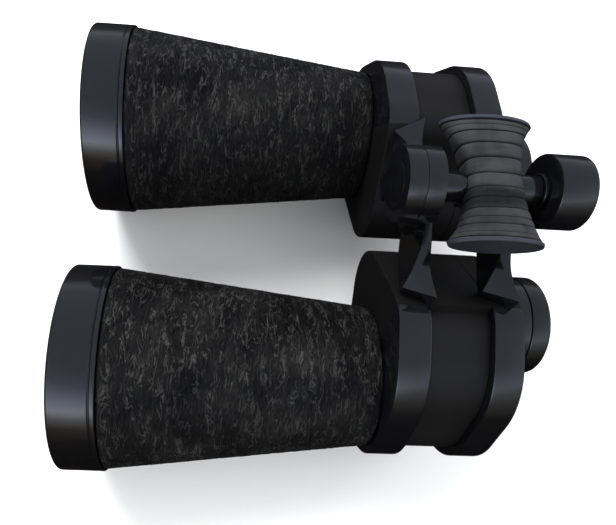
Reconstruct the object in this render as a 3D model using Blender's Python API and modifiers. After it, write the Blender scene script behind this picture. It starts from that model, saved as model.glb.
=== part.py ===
"""Porro prism binoculars with individual focus, folding about one hinge pin.

Design axes: X across, Y along the optical axes from the objective rims to the
eyecups, Z up from the objective axes. The empty "binoculars" shifts that frame
so that the middle of the underside is the world's origin.
"""
import math

import bmesh
import bpy
from mathutils import Matrix, Vector

MM = 0.001
GAP = 0.3 * MM                  # between pieces that touch
STEPS = 28                      # facets round the barrels and the eyepieces
SMALL_STEPS = 16                # facets round small turned pieces

# Overall layout
LENGTH = 172.0 * MM             # objective rims to eyecups
AXIS_X = 51.6 * MM              # objective axis from the middle plane
EYE_X = AXIS_X - 20.7 * MM      # eyepiece axis from the middle plane
EYE_Z = 8.2 * MM                # eyepiece axis above the objective axis
HINGE_Z = 60.3 * MM             # hinge axis above the objective axes

# Objective barrels
RIM_R = 37.5 * MM
RIM_FLARE = 0.15 * MM
RIM_LENGTH = 15.2 * MM
RIM_WALL = 1.6 * MM
RIM_LIP = 2.6 * MM              # inward lip that holds the lens cell
RIM_LIP_DEPTH = 2.0 * MM
COVER_R_FRONT = 37.2 * MM
COVER_R_REAR = 26.5 * MM
COVER_WALL = 1.2 * MM           # leather
TUBE_WALL = 1.8 * MM
CELL_WALL = 2.0 * MM
LENS_Y = 5.0 * MM               # rim of the front lens behind the rim's face
LENS_SAG = 3.2 * MM             # the curve that the two lenses share
CROWN = (3.0 * MM, 1.6 * MM, LENS_SAG)          # edge, front sag, rear sag
FLINT = (4.5 * MM, -LENS_SAG, -0.6 * MM)

# Prism housings
PLATE_DEPTH = 11.0 * MM
BODY_LENGTH = 20.0 * MM
REAR_PLATE_DEPTH = 10.2 * MM
PLATE_FLOOR = 2.2 * MM
HOUSING_WALL = 2.2 * MM
FLANGE_STEP = 3.2 * MM          # plates stand this far proud of the body
HOUSING_R = 29.2 * MM           # lobe round the objective axis
INNER_LOBE = (AXIS_X - 28.4 * MM, 6.5 * MM, 19.2 * MM)
CREST_LOBE = (AXIS_X - 13.3 * MM, 28.8 * MM, 14.0 * MM)
OUTER_LOBE = (AXIS_X - 7.2 * MM, 11.2 * MM, 30.0 * MM)
FLAT_FROM = math.radians(112)   # the flat side that faces the hinge and the other housing
FLAT_TO = math.radians(262)

# Optics inside
PRISM_HALF_WIDTH = 8.5 * MM
PRISM_RIDGE = 1.4 * MM          # half width of the ground-off ridge
SHELF_THICKNESS = 2.4 * MM
LIGHT_HOLE_R = 6.8 * MM
STRAP_THICKNESS = 0.5 * MM
STRAP_HALF_WIDTH = 3.0 * MM
STRAP_REACH = 0.8               # share of the prism's face that the strap runs down

# Eyepieces
EYE_R = 18.5 * MM
RING_LENGTH = 12.4 * MM
EYECUP_LENGTH = 7.2 * MM
RING_WALL = 1.9 * MM
BASE_WALL = 2.0 * MM
CELL_TUBE_WALL = 2.0 * MM
EYECUP_HOLE_R = 13.0 * MM
EYECUP_RIM = 2.5 * MM
SCREW_R = 2.2 * MM
SCREW_LENGTH = 1.5 * MM
SCREW_SLANTS = (math.radians(25), math.radians(75))     # two screws' places round their lobes
BASE_INSET = 1.0 * MM           # eyepiece base inside the rear plate, and short of the ring's end
EYECUP_LIP_DEPTH = 2.0 * MM
EYECUP_BEVEL = 1.5 * MM
FIELD_LENS = (2.5 * MM, 2.0 * MM, 1.5 * MM, 0.4 * MM)  # from the cell's front, edge, two sags
EYE_LENS = (6.0 * MM, 2.5 * MM, 1.5 * MM, 1.0 * MM)    # from the cell's end, edge, two sags

# Hinge
FRONT_HINGE_LEAD = 5.3 * MM     # front knuckles start ahead of the front plate
FRONT_KNUCKLE_R = 11.7 * MM
FRONT_KNUCKLE_LENGTH = 11.3 * MM
REAR_HINGE_SETBACK = 19.6 * MM  # rear knuckles behind the front plate's face
REAR_KNUCKLE_R = 5.4 * MM
REAR_KNUCKLE_LENGTH = 9.8 * MM
PIN_R = 3.0 * MM
PIN_HEAD_R = 7.0 * MM
PIN_HEAD_LENGTH = 2.0 * MM
SLEEVE_R = 4.8 * MM
KNOB_SETBACK = 40.3 * MM        # clamp knob behind the front plate's face
KNOB_R = 11.6 * MM
KNOB_LENGTH = 11.2 * MM
WASHER_THICKNESS = 1.5 * MM
WASHER_R = 5.6 * MM
KNOB_CROWN = 3.0 * MM           # knob's solid end behind the pin
CLAMP_TRAVEL = 0.5 * MM

# Arms
FOOT_X = AXIS_X - 22.1 * MM
FOOT_RISE = 4.4 * MM            # foot's highest corner above the plate
ARM_DROP = 10.2 * MM            # arm's top below the hinge axis, under the saddle
FRONT_ARM_SHIFT = 5.4 * MM      # arms sit behind the middle of their knuckles
REAR_ARM_SHIFT = 8.0 * MM
ARM_START = 0.4                 # the arm starts at this share of its knuckle's radius
WEB_TOP = 0.6                   # the web's top edge below the axis, as a share of that radius
WEB_REACH = (0.1, 0.9)          # the web's width across, as shares of that radius
WEB_DROP = 5.5 * MM             # the web's low edge below the arm's top
WEB_INSET = 0.2 * MM            # the web's faces inside the knuckle's ends
BRIDGE_REACH = (0.3, 0.84)      # the bridge's width across: it joins the web to the bar behind it
BRIDGE_RISE = 0.25 * MM         # the bridge's low edge above the web's
CLEAR_REACH = 8 * MM            # room for the other arm's knuckle behind its end
CUT_REACH = 9 * MM              # cutters that go right through run this far past
# Corners of the bar's sections, in millimetres from its spine, from the knuckle to the foot:
# the low front edge, the ridge, the high rear edge, the toe, and the keel
ARM_STATIONS = (
    (0.0, ((0, -5, -5), (0, -3, -0.5), (0, 2.5, 0), (0, 3, -4), (0, 2, -6.5), (0, -5, -6.5))),
    (0.7, ((0, -4.6, -5.2), (0, 0.4, -0.6), (0, 3.2, -0.9), (0, 3.2, -4.5))),
    (1.0, ((-2.2, -3.4, -6.6), (-1.6, -2.4, -5.8), (2.9, 5.7, 0), (6.5, 3, -4.5),
           (3, 1, -11), (-1, -2.5, -11))),
)

# Saddle grip
SADDLE_SETBACK = 3.0 * MM       # saddle's middle behind the rear knuckles' front
SADDLE_RISE = 3.2 * MM          # saddle's centre above the hinge axis
SADDLE_HALF = 20.4 * MM
SADDLE_END = (14.2 * MM, 5.5 * MM, 5.5 * MM)     # half depth, height above, height below
SADDLE_WAIST = (10.0 * MM, 5.8 * MM, 8.6 * MM)
SADDLE_RIBS = 10
RIB_HEIGHT = 0.6 * MM
END_PLATE = 1.4 * MM
END_PLATE_LIP = 0.6 * MM
CORE_HALF = 8.5 * MM
CORE_DEPTH = 4.6 * MM
CORE_DROP = 7.0 * MM            # core's underside below the hinge axis
CORE_SETBACK = 1.0 * MM         # core in front of the rear knuckles
CAVITY_DROP = 14.0 * MM         # the grip's cavity and passage open through its underside

# Sizes that follow from the ones above
EYEPIECE_LENGTH = RING_LENGTH + EYECUP_LENGTH + 2 * GAP
HOUSING_LENGTH = PLATE_DEPTH + BODY_LENGTH + REAR_PLATE_DEPTH + 2 * GAP
PLATE_Y = LENGTH - EYEPIECE_LENGTH - HOUSING_LENGTH     # front face of the front plate
FRONT_HINGE_Y = PLATE_Y - FRONT_HINGE_LEAD
REAR_HINGE_Y = PLATE_Y + REAR_HINGE_SETBACK
SADDLE_Y = REAR_HINGE_Y + SADDLE_SETBACK
KNOB_Y = PLATE_Y + KNOB_SETBACK
BODY_Y = PLATE_Y + PLATE_DEPTH + GAP
REAR_PLATE_Y = BODY_Y + BODY_LENGTH + GAP
HOUSING_END = REAR_PLATE_Y + REAR_PLATE_DEPTH
SHELF_Y = (PLATE_Y + HOUSING_END) / 2
LOBES = ((AXIS_X, 0.0, HOUSING_R), INNER_LOBE, CREST_LOBE, OUTER_LOBE)
FRONT_KNUCKLE = (FRONT_HINGE_Y, FRONT_KNUCKLE_R, FRONT_KNUCKLE_LENGTH)
REAR_KNUCKLE = (REAR_HINGE_Y, REAR_KNUCKLE_R, REAR_KNUCKLE_LENGTH)
SIDES = (("left", 1), ("right", -1))

for old in list(bpy.data.objects):
    bpy.data.objects.remove(old, do_unlink=True)

PARTS = bpy.data.collections.new("binoculars")
CUTTERS = bpy.data.collections.new("cutters")
for made in (PARTS, CUTTERS):
    bpy.context.scene.collection.children.link(made)


def material(name, colour, roughness, metallic):
    made = bpy.data.materials.new(name)
    made.use_nodes = True
    shader = made.node_tree.nodes["Principled BSDF"]
    shader.inputs["Base Color"].default_value = (*colour, 1.0)
    shader.inputs["Roughness"].default_value = roughness
    shader.inputs["Metallic"].default_value = metallic
    return made


ENAMEL = material("gloss_enamel", (0.03, 0.032, 0.04), 0.2, 0.3)
MATTE = material("matte_enamel", (0.02, 0.02, 0.02), 0.7, 0.2)
LEATHER = material("leather", (0.018, 0.018, 0.018), 0.75, 0.0)
RUBBER = material("rubber", (0.08, 0.082, 0.085), 0.8, 0.0)
STEEL = material("steel", (0.4, 0.4, 0.42), 0.35, 1.0)
BRASS = material("brass", (0.5, 0.38, 0.16), 0.35, 1.0)
ALUMINIUM = material("aluminium", (0.25, 0.25, 0.26), 0.5, 1.0)
GLASS = material("glass", (0.75, 0.85, 0.82), 0.05, 0.0)


def empty(name, parent, location):
    made = bpy.data.objects.new(name, None)
    made.empty_display_size = 10 * MM
    PARTS.objects.link(made)
    made.parent = parent
    made.location = Vector(location)
    return made


ROOT = empty("binoculars", None, (0, -LENGTH / 2, RIM_R + RIM_FLARE))


def place(thing, parent, matrix, surface):
    """Puts an object in the design frame, under its joint's empty, and gives it its material."""
    offset = Vector((0, 0, 0))
    above = parent
    while above is not None and above is not ROOT:
        offset += above.location
        above = above.parent
    thing.parent = parent
    thing.matrix_basis = Matrix.Translation(-offset) @ matrix
    if surface:
        thing.data.materials.clear()
        thing.data.materials.append(surface)
        PARTS.objects.link(thing)
    else:
        CUTTERS.objects.link(thing)
        thing.hide_render = True
        thing.display_type = "WIRE"
    return thing


def turned(name, profile, x, z, surface, parent=ROOT, steps=STEPS):
    """A turned piece about a line along Y, from a profile of (y, radius).

    The profile runs from the rear end to the front along the outer side, and back inside.
    """
    mesh = bpy.data.meshes.new(name)
    points = [Vector((radius, 0, y)) for y, radius in profile]
    edges = [(i, i + 1) for i in range(len(points) - 1)]
    if profile[0][1] > 0:
        edges.append((len(points) - 1, 0))
    mesh.from_pydata(points, edges, [])
    thing = bpy.data.objects.new(name, mesh)
    screw = thing.modifiers.new("turn", "SCREW")
    screw.steps = screw.render_steps = steps
    screw.use_merge_vertices = True
    screw.merge_threshold = 0.01 * MM
    along_y = Matrix.Rotation(math.radians(-90), 4, "X")
    return place(thing, parent, Matrix.Translation((x, 0, z)) @ along_y, surface)


def tube(name, y0, y1, outer, inner, x, z, surface, parent=ROOT, steps=STEPS):
    """A straight or tapered tube: outer and inner are (front radius, rear radius)."""
    profile = [(y1, outer[1]), (y0, outer[0]), (y0, inner[0]), (y1, inner[1])]
    return turned(name, profile, x, z, surface, parent, steps)


def rod(name, y0, y1, radius, x, z, surface, parent=ROOT, steps=SMALL_STEPS):
    profile = [(y1, 0), (y1, radius), (y0, radius), (y0, 0)]
    return turned(name, profile, x, z, surface, parent, steps)


def flat_piece(name, outlines, thickness, matrix, surface, parent=ROOT):
    """A flat outline, with any holes as further outlines, filled and given a thickness."""
    curve = bpy.data.curves.new(name, "CURVE")
    curve.dimensions = "2D"
    curve.fill_mode = "BOTH"
    curve.extrude = thickness / 2
    for outline in outlines:
        spline = curve.splines.new("POLY")
        spline.points.add(len(outline) - 1)
        for point, (u, v) in zip(spline.points, outline):
            point.co = (u, v, 0, 1)
        spline.use_cyclic_u = True
    drawn = bpy.data.objects.new(name + "_outline", curve)
    CUTTERS.objects.link(drawn)
    bpy.context.view_layer.update()
    seen = drawn.evaluated_get(bpy.context.evaluated_depsgraph_get())
    mesh = bpy.data.meshes.new_from_object(seen)
    bpy.data.objects.remove(drawn)
    work = bmesh.new()
    work.from_mesh(mesh)
    bmesh.ops.remove_doubles(work, verts=work.verts, dist=0.001 * MM)
    bmesh.ops.recalc_face_normals(work, faces=work.faces)
    work.to_mesh(mesh)
    work.free()
    return place(bpy.data.objects.new(name, mesh), parent, matrix, surface)


def slab(name, outlines, y0, y1, surface, parent=ROOT):
    """Outlines of (x, z), filled between two places along Y."""
    upright = Matrix.Rotation(math.radians(90), 4, "X")
    matrix = Matrix.Translation((0, (y0 + y1) / 2, 0)) @ upright
    return flat_piece(name, outlines, y1 - y0, matrix, surface, parent)


def block(name, across, along, up, parent):
    """A square-cornered cutter or filler between two places on each axis."""
    outline = [(across[0], up[0]), (across[1], up[0]), (across[1], up[1]), (across[0], up[1])]
    return slab(name, [outline], along[0], along[1], None, parent)


def loft(name, sections, surface, parent=ROOT):
    """Skins a row of closed sections with the same number of points, with both ends capped."""
    work = bmesh.new()
    rings = [[work.verts.new(point) for point in section] for section in sections]
    count = len(rings[0])
    for near, far in zip(rings, rings[1:]):
        for i in range(count):
            j = (i + 1) % count
            work.faces.new((near[i], near[j], far[j], far[i]))
    work.faces.new(rings[0])
    work.faces.new(rings[-1])
    bmesh.ops.triangulate(work, faces=work.faces)
    bmesh.ops.recalc_face_normals(work, faces=work.faces)
    if work.calc_volume(signed=True) < 0:
        bmesh.ops.reverse_faces(work, faces=work.faces)
    mesh = bpy.data.meshes.new(name)
    work.to_mesh(mesh)
    work.free()
    return place(bpy.data.objects.new(name, mesh), parent, Matrix.Identity(4), surface)


def hull(name, points, surface, parent=ROOT):
    """The smallest convex solid that holds all the points."""
    work = bmesh.new()
    for point in points:
        work.verts.new(point)
    found = bmesh.ops.convex_hull(work, input=work.verts)
    inside = {item for item in found["geom_interior"] + found["geom_unused"]
              if isinstance(item, bmesh.types.BMVert)}
    bmesh.ops.delete(work, geom=list(inside), context="VERTS")
    bmesh.ops.recalc_face_normals(work, faces=work.faces)
    mesh = bpy.data.meshes.new(name)
    work.to_mesh(mesh)
    work.free()
    return place(bpy.data.objects.new(name, mesh), parent, Matrix.Identity(4), surface)


def combine(thing, other, operation="DIFFERENCE"):
    step = thing.modifiers.new(operation.lower(), "BOOLEAN")
    step.operation = operation
    step.object = other


def circle(x, z, radius, steps):
    turns = [2 * math.pi * i / steps for i in range(steps)]
    return [(x + radius * math.cos(t), z + radius * math.sin(t)) for t in turns]


def housing_outline(side, grow, flush_grow, steps=40):
    """The outline round the four lobes, grown on the curved side and on the flat side by the hinge."""
    points = []
    for i in range(steps):
        turn = 2 * math.pi * i / steps
        direction = Vector((math.cos(turn), math.sin(turn)))
        x, z, radius = max(LOBES, key=lambda lobe: direction.dot(Vector(lobe[:2])) + lobe[2])
        facing_hinge = FLAT_FROM < turn < FLAT_TO
        reach = radius + (flush_grow if facing_hinge else grow)
        points.append((side * (x + reach * direction.x), z + reach * direction.y))
    return points


def lens(name, y0, form, radius, x, z, parent):
    """A lens whose form is its edge, front sag and rear sag: a positive sag bulges outwards."""
    edge, front_sag, rear_sag = form
    rings = 3
    shares = [i / rings for i in range(rings + 1)]
    rear = [(y0 + edge + rear_sag * (1 - share ** 2), radius * share) for share in shares]
    front = [(y0 - front_sag * (1 - share ** 2), radius * share) for share in reversed(shares)]
    return turned(name, rear + front, x, z, GLASS, parent, SMALL_STEPS + 4)


def cover_radius(y):
    """Outer radius of the leather along the barrel."""
    share = (y - RIM_LENGTH) / (PLATE_Y - RIM_LENGTH)
    return COVER_R_FRONT + (COVER_R_REAR - COVER_R_FRONT) * share


def barrel(name, side, parent):
    """Rim, lens cell, achromatic pair, tapered tube and its leather."""
    x = side * AXIS_X
    rim_inner = RIM_R - RIM_WALL
    cell_outer = rim_inner - GAP
    lens_r = cell_outer - CELL_WALL - GAP
    tube_y = RIM_LENGTH + GAP
    tube_front = cover_radius(tube_y) - COVER_WALL - GAP
    tube_rear = cover_radius(PLATE_Y) - COVER_WALL - GAP
    turned("objective_rim_" + name, [
        (RIM_LENGTH, RIM_R + RIM_FLARE), (0, RIM_R), (0, rim_inner - RIM_LIP),
        (RIM_LIP_DEPTH, rim_inner - RIM_LIP), (RIM_LIP_DEPTH, rim_inner), (RIM_LENGTH, rim_inner),
    ], x, 0, ENAMEL, parent)
    tube("objective_cell_" + name, RIM_LIP_DEPTH + GAP, RIM_LENGTH, (cell_outer,) * 2,
         (cell_outer - CELL_WALL,) * 2, x, 0, ALUMINIUM, parent)
    lens("objective_crown_" + name, LENS_Y, CROWN, lens_r, x, 0, parent)
    lens("objective_flint_" + name, LENS_Y + CROWN[0] + GAP, FLINT, lens_r, x, 0, parent)
    tube("objective_tube_" + name, tube_y, PLATE_Y - GAP, (tube_front, tube_rear),
         (tube_front - TUBE_WALL, tube_rear - TUBE_WALL), x, 0, ALUMINIUM, parent)
    tube("barrel_cover_" + name, tube_y, PLATE_Y - GAP, (cover_radius(tube_y), COVER_R_REAR),
         (tube_front + GAP, tube_rear + GAP), x, 0, LEATHER, parent)


def housing(name, side, parent):
    """The prism housing: a hollow body between two cup-shaped plates."""
    outer = housing_outline(side, 0, 0)
    pocket = housing_outline(side, -FLANGE_STEP - HOUSING_WALL, -HOUSING_WALL)
    body = housing_outline(side, -FLANGE_STEP, 0)
    light = circle(side * AXIS_X, 0, COVER_R_REAR - COVER_WALL - TUBE_WALL - 2 * GAP, STEPS)
    front = slab("front_plate_" + name, [outer, light], PLATE_Y, PLATE_Y + PLATE_DEPTH, ENAMEL, parent)
    room = slab("front_pocket_" + name, [pocket], PLATE_Y + PLATE_FLOOR, BODY_Y + GAP, None, parent)
    combine(front, room)
    slab("housing_" + name, [body, pocket], BODY_Y, BODY_Y + BODY_LENGTH, MATTE, parent)
    port = circle(side * EYE_X, EYE_Z, base_radius(), SMALL_STEPS)
    rear = slab("rear_plate_" + name, [outer, port], REAR_PLATE_Y, HOUSING_END, ENAMEL, parent)
    floor = HOUSING_END - PLATE_FLOOR
    room = slab("rear_pocket_" + name, [pocket], REAR_PLATE_Y - GAP, floor, None, parent)
    combine(rear, room)
    return rear


def base_radius():
    """Bore of the rear plate round the eyepiece base."""
    return EYE_R - RING_WALL - 2 * GAP


def prisms(name, side, parent):
    """Two crossed prisms on a shelf: each one sets the light over by half its long face."""
    start = Vector((AXIS_X, 0))
    whole = Vector((EYE_X, EYE_Z)) - start
    step = whole.length / math.sqrt(2)
    slant = math.atan2(whole.y, whole.x)
    first = Vector((math.cos(slant - math.pi / 4), math.sin(slant - math.pi / 4)))
    second = Vector((math.cos(slant + math.pi / 4), math.sin(slant + math.pi / 4)))
    middle = start + first * step
    holes = [circle(side * spot.x, spot.y, LIGHT_HOLE_R, SMALL_STEPS)
             for spot in (start, middle, Vector((EYE_X, EYE_Z)))]
    edge = housing_outline(side, -FLANGE_STEP - HOUSING_WALL - GAP, -HOUSING_WALL - GAP)
    slab("prism_shelf_" + name, [edge] + holes, SHELF_Y - SHELF_THICKNESS / 2,
         SHELF_Y + SHELF_THICKNESS / 2, ALUMINIUM, parent)
    for which, centre, direction, way in (("rear", start + first * step / 2, first, 1),
                                          ("front", middle + second * step / 2, second, -1)):
        along = Vector((side * direction.x, 0, direction.y))
        back = Vector((0, way, 0))
        across = along.cross(back)
        seat = Vector((side * centre.x, SHELF_Y + way * (SHELF_THICKNESS / 2 + GAP), centre.y))
        frame = Matrix.Translation(seat) @ Matrix((along, back, across)).transposed().to_4x4()
        ridge = step - PRISM_RIDGE
        section = [(-step, 0), (step, 0), (PRISM_RIDGE, ridge), (-PRISM_RIDGE, ridge)]
        flat_piece(f"prism_{which}_{name}", [section], 2 * PRISM_HALF_WIDTH, frame, GLASS, parent)
        lean = GAP * math.sqrt(2)
        reach = step * STRAP_REACH
        low = step - reach + lean
        thick = STRAP_THICKNESS * math.sqrt(2)
        half_strap = [(PRISM_RIDGE + lean - GAP, ridge + GAP), (reach, low), (reach, low + thick),
                      (PRISM_RIDGE + lean, ridge + GAP + STRAP_THICKNESS)]
        strap = half_strap + [(-u, v) for u, v in reversed(half_strap)]
        flat_piece(f"prism_strap_{which}_{name}", [strap], 2 * STRAP_HALF_WIDTH, frame, STEEL, parent)


def eyepiece(name, side, parent, rear_plate):
    """Fixed base, turning focus ring, and the cell that it drives out, with its lenses and eyecup."""
    x = side * EYE_X
    base_outer = base_radius() - GAP
    base_inner = base_outer - BASE_WALL
    cell_outer = base_inner - GAP
    cell_inner = cell_outer - CELL_TUBE_WALL
    ring_y = HOUSING_END + GAP
    ring_end = ring_y + RING_LENGTH
    cup_y = ring_end + GAP
    axis = empty("eyepiece_axis_" + name, parent, (0, 0, 0))
    axis.location = Vector((x, HOUSING_END, EYE_Z)) - parent.location
    tube("eyepiece_base_" + name, HOUSING_END - PLATE_FLOOR - BASE_INSET, ring_end - BASE_INSET,
         (base_outer,) * 2, (base_inner,) * 2, x, EYE_Z, BRASS, parent, SMALL_STEPS)
    tube("focus_ring_" + name, ring_y, ring_end, (EYE_R,) * 2, (EYE_R - RING_WALL,) * 2,
         x, EYE_Z, ENAMEL, axis)
    cell_front = HOUSING_END - PLATE_FLOOR
    cell_end = LENGTH - EYECUP_RIM - EYECUP_LIP_DEPTH
    flange = EYE_R - RING_WALL - GAP
    turned("ocular_cell_" + name, [
        (cell_end, flange), (cup_y, flange), (cup_y, cell_outer), (cell_front, cell_outer),
        (cell_front, cell_inner), (cell_end, cell_inner),
    ], x, EYE_Z, ALUMINIUM, axis)
    turned("eyecup_" + name, [
        (LENGTH, EYE_R), (cup_y, EYE_R), (cup_y, flange + GAP), (cell_end + GAP, flange + GAP),
        (cell_end + GAP, EYECUP_HOLE_R), (LENGTH, EYECUP_HOLE_R + EYECUP_BEVEL),
    ], x, EYE_Z, ENAMEL, axis)
    glass_r = cell_inner - GAP
    inset, *form = FIELD_LENS
    lens("field_lens_" + name, cell_front + inset, form, glass_r, x, EYE_Z, axis)
    inset, *form = EYE_LENS
    lens("eye_lens_" + name, cell_end - inset, form, glass_r, x, EYE_Z, axis)
    for number, (sx, sz) in enumerate(screw_places()):
        hole = rod(f"screw_hole_{number}_{name}", HOUSING_END - SCREW_LENGTH - GAP, HOUSING_END + GAP,
                   SCREW_R + GAP, side * sx, sz, None, parent)
        combine(rear_plate, hole)
        rod(f"plate_screw_{number}_{name}", HOUSING_END - SCREW_LENGTH, HOUSING_END,
            SCREW_R, side * sx, sz, STEEL, parent, 12)


def screw_places():
    """Three screws round the rear plate, clear of the eyepiece."""
    inset = FLANGE_STEP + HOUSING_WALL + SCREW_R
    places = [(AXIS_X, inset - HOUSING_R)]
    for (x, z, radius), slant in zip((OUTER_LOBE, CREST_LOBE), SCREW_SLANTS):
        places.append((x + (radius - inset) * math.cos(slant), z + (radius - inset) * math.sin(slant)))
    return places


def arm(which, name, side, parent, knuckle, shift):
    """A cast arm: half of the knuckle round the pin, a twisted bar, and a pointed foot on the housing."""
    knuckle_y, knuckle_r, knuckle_length = knuckle
    half = knuckle_length / 2
    own_y = knuckle_y if side < 0 else knuckle_y + half
    other_y = knuckle_y + half if side < 0 else knuckle_y
    ring = tube(f"{which}_knuckle_{name}", own_y + GAP / 2, own_y + half - GAP / 2, (knuckle_r,) * 2,
                (PIN_R + GAP,) * 2, 0, HINGE_Z, None, parent, SMALL_STEPS)
    foot_y = knuckle_y + half + shift
    root = Vector((knuckle_r * ARM_START, foot_y, HINGE_Z - ARM_DROP))
    foot = Vector((FOOT_X, foot_y, CREST_LOBE[1] + CREST_LOBE[2] + FOOT_RISE))
    points = []
    for share, offsets in ARM_STATIONS:
        points += [root.lerp(foot, share) + Vector(offset) * MM for offset in offsets]
    thing = hull(f"{which}_arm_{name}", [(side * x, y, z) for x, y, z in points], ENAMEL, parent)
    web_low = HINGE_Z - ARM_DROP - WEB_DROP
    web = block(f"{which}_web_{name}", [side * knuckle_r * share for share in WEB_REACH],
                (own_y + GAP / 2 + WEB_INSET, own_y + half - GAP / 2 - WEB_INSET),
                (web_low, HINGE_Z - knuckle_r * WEB_TOP), parent)
    bridge = block(f"{which}_bridge_{name}", [side * knuckle_r * share for share in BRIDGE_REACH],
                   (own_y + half / 2, foot_y), (web_low + BRIDGE_RISE, HINGE_Z - ARM_DROP), parent)
    clear_reach = CLEAR_REACH if side < 0 else 0
    clear = rod(f"{which}_clear_{name}", other_y - GAP / 2, other_y + half + GAP / 2 + clear_reach,
                knuckle_r + 2 * GAP, 0, HINGE_Z, None, parent)
    bore = rod(f"{which}_bore_{name}", knuckle_y - CUT_REACH, knuckle_y + knuckle_length + CUT_REACH,
               PIN_R + GAP, 0, HINGE_Z, None, parent)
    plate = slab(f"{which}_seat_{name}", [housing_outline(side, GAP, GAP)], PLATE_Y - CUT_REACH,
                 HOUSING_END + CUT_REACH, None, parent)
    combine(thing, bridge, "UNION")
    combine(thing, clear)
    combine(thing, web, "UNION")
    combine(thing, ring, "UNION")
    combine(thing, bore)
    if which == "front":
        head = rod(f"front_counterbore_{name}", knuckle_y - CUT_REACH, knuckle_y + PIN_HEAD_LENGTH + GAP,
                   PIN_HEAD_R + GAP, 0, HINGE_Z, None, parent)
        combine(thing, head)
    combine(thing, plate)
    return thing


def saddle_section(x):
    """The saddle's half depth, height above and height below at x, and how square it is there."""
    share = min(1.0, abs(x) / SADDLE_HALF)
    flare = share ** 2.2
    sizes = [waist + (end - waist) * flare for end, waist in zip(SADDLE_END, SADDLE_WAIST)]
    wave = math.cos(math.pi * SADDLE_RIBS * (x / SADDLE_HALF + 1))
    return [size - RIB_HEIGHT * (0.5 + 0.5 * wave) for size in sizes], 4.0 - 2.0 * flare


def saddle_ring(x, sizes, power, grow=0.0, points=16):
    """One oval section: power 2 is an ellipse, and a higher one is squarer."""
    depth, above, below = (size + grow for size in sizes)
    centre = HINGE_Z + SADDLE_RISE
    ring = []
    for i in range(points):
        turn = 2 * math.pi * i / points
        u, v = math.cos(turn), math.sin(turn)
        height = (above if v > 0 else below) * abs(v) ** (2 / power)
        ring.append((x, SADDLE_Y + math.copysign(depth * abs(u) ** (2 / power), u),
                     centre + math.copysign(height, v)))
    return ring


def arch(half, radius, low):
    """An outline with square shoulders just below the hinge axis and a round top about it."""
    shoulder = HINGE_Z - 1.0 * MM
    turns = [math.pi * i / 10 for i in range(11)]
    top = [(radius * math.cos(t), HINGE_Z + radius * math.sin(t)) for t in turns]
    return [(-half, low), (half, low), (half, shoulder)] + top + [(-half, shoulder)]


def saddle():
    """Ribbed rubber grip over the rear knuckles, on a core clamped to the front sleeve."""
    stations = 2 * SADDLE_RIBS
    length = SADDLE_HALF - END_PLATE - GAP
    xs = [-length + 2 * length * i / stations for i in range(stations + 1)]
    grip = loft("saddle_grip", [saddle_ring(x, *saddle_section(x)) for x in xs], RUBBER)
    for name, side in SIDES:
        lip = saddle_ring(0, SADDLE_END, 2, END_PLATE_LIP)
        rings = [[(side * x, y, z) for _, y, z in lip] for x in (SADDLE_HALF - END_PLATE, SADDLE_HALF)]
        loft("saddle_end_" + name, rings, ENAMEL)
    core_y = REAR_HINGE_Y - GAP - CORE_DEPTH - CORE_SETBACK
    cavity_r = REAR_KNUCKLE_R + 2 * GAP
    cavity = slab("saddle_cavity", [arch(CORE_HALF, cavity_r, HINGE_Z - CAVITY_DROP)],
                  core_y - GAP, REAR_HINGE_Y + REAR_KNUCKLE_LENGTH + GAP, None)
    reach = max(SADDLE_END[0], SADDLE_WAIST[0]) + END_PLATE_LIP + GAP
    passage = slab("saddle_passage", [arch(SLEEVE_R + GAP, SLEEVE_R + GAP, HINGE_Z - CAVITY_DROP)],
                   SADDLE_Y - reach, SADDLE_Y + reach, None)
    combine(grip, cavity)
    combine(grip, passage)
    bore = circle(0, HINGE_Z, SLEEVE_R + GAP / 2, SMALL_STEPS)
    core = slab("saddle_core", [arch(CORE_HALF - GAP, cavity_r - GAP, HINGE_Z - CORE_DROP), bore],
                core_y, core_y + CORE_DEPTH, ALUMINIUM)
    return core


def hinge():
    """Pin, sleeves, clamp washer and clamp knob."""
    front_end = FRONT_HINGE_Y + FRONT_KNUCKLE_LENGTH
    rear_end = REAR_HINGE_Y + REAR_KNUCKLE_LENGTH
    washer_y = KNOB_Y - WASHER_THICKNESS
    pin_end = KNOB_Y + KNOB_LENGTH - KNOB_CROWN
    head_end = FRONT_HINGE_Y + PIN_HEAD_LENGTH
    turned("hinge_pin", [
        (pin_end, 0), (pin_end, PIN_R), (head_end, PIN_R), (head_end, PIN_HEAD_R),
        (FRONT_HINGE_Y, PIN_HEAD_R), (FRONT_HINGE_Y, 0),
    ], 0, HINGE_Z, STEEL, ROOT, SMALL_STEPS)
    for name, y0, y1 in (("front_sleeve", front_end + GAP, REAR_HINGE_Y - GAP),
                         ("rear_sleeve", rear_end + GAP, washer_y - GAP)):
        tube(name, y0, y1, (SLEEVE_R,) * 2, (PIN_R + GAP,) * 2, 0, HINGE_Z, ENAMEL, ROOT, SMALL_STEPS)
    axis = empty("clamp_axis", ROOT, (0, KNOB_Y, HINGE_Z))
    tube("clamp_washer", washer_y, KNOB_Y - GAP, (WASHER_R,) * 2, (PIN_R + GAP,) * 2, 0, HINGE_Z,
         STEEL, axis, SMALL_STEPS)
    knob_bore = pin_end + CLAMP_TRAVEL + GAP
    turned("clamp_knob", [
        (KNOB_Y + KNOB_LENGTH, 0), (KNOB_Y + KNOB_LENGTH, KNOB_R), (KNOB_Y, KNOB_R),
        (KNOB_Y, PIN_R + GAP), (knob_bore, PIN_R + GAP), (knob_bore, 0),
    ], 0, HINGE_Z, ENAMEL, axis, SMALL_STEPS)


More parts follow.
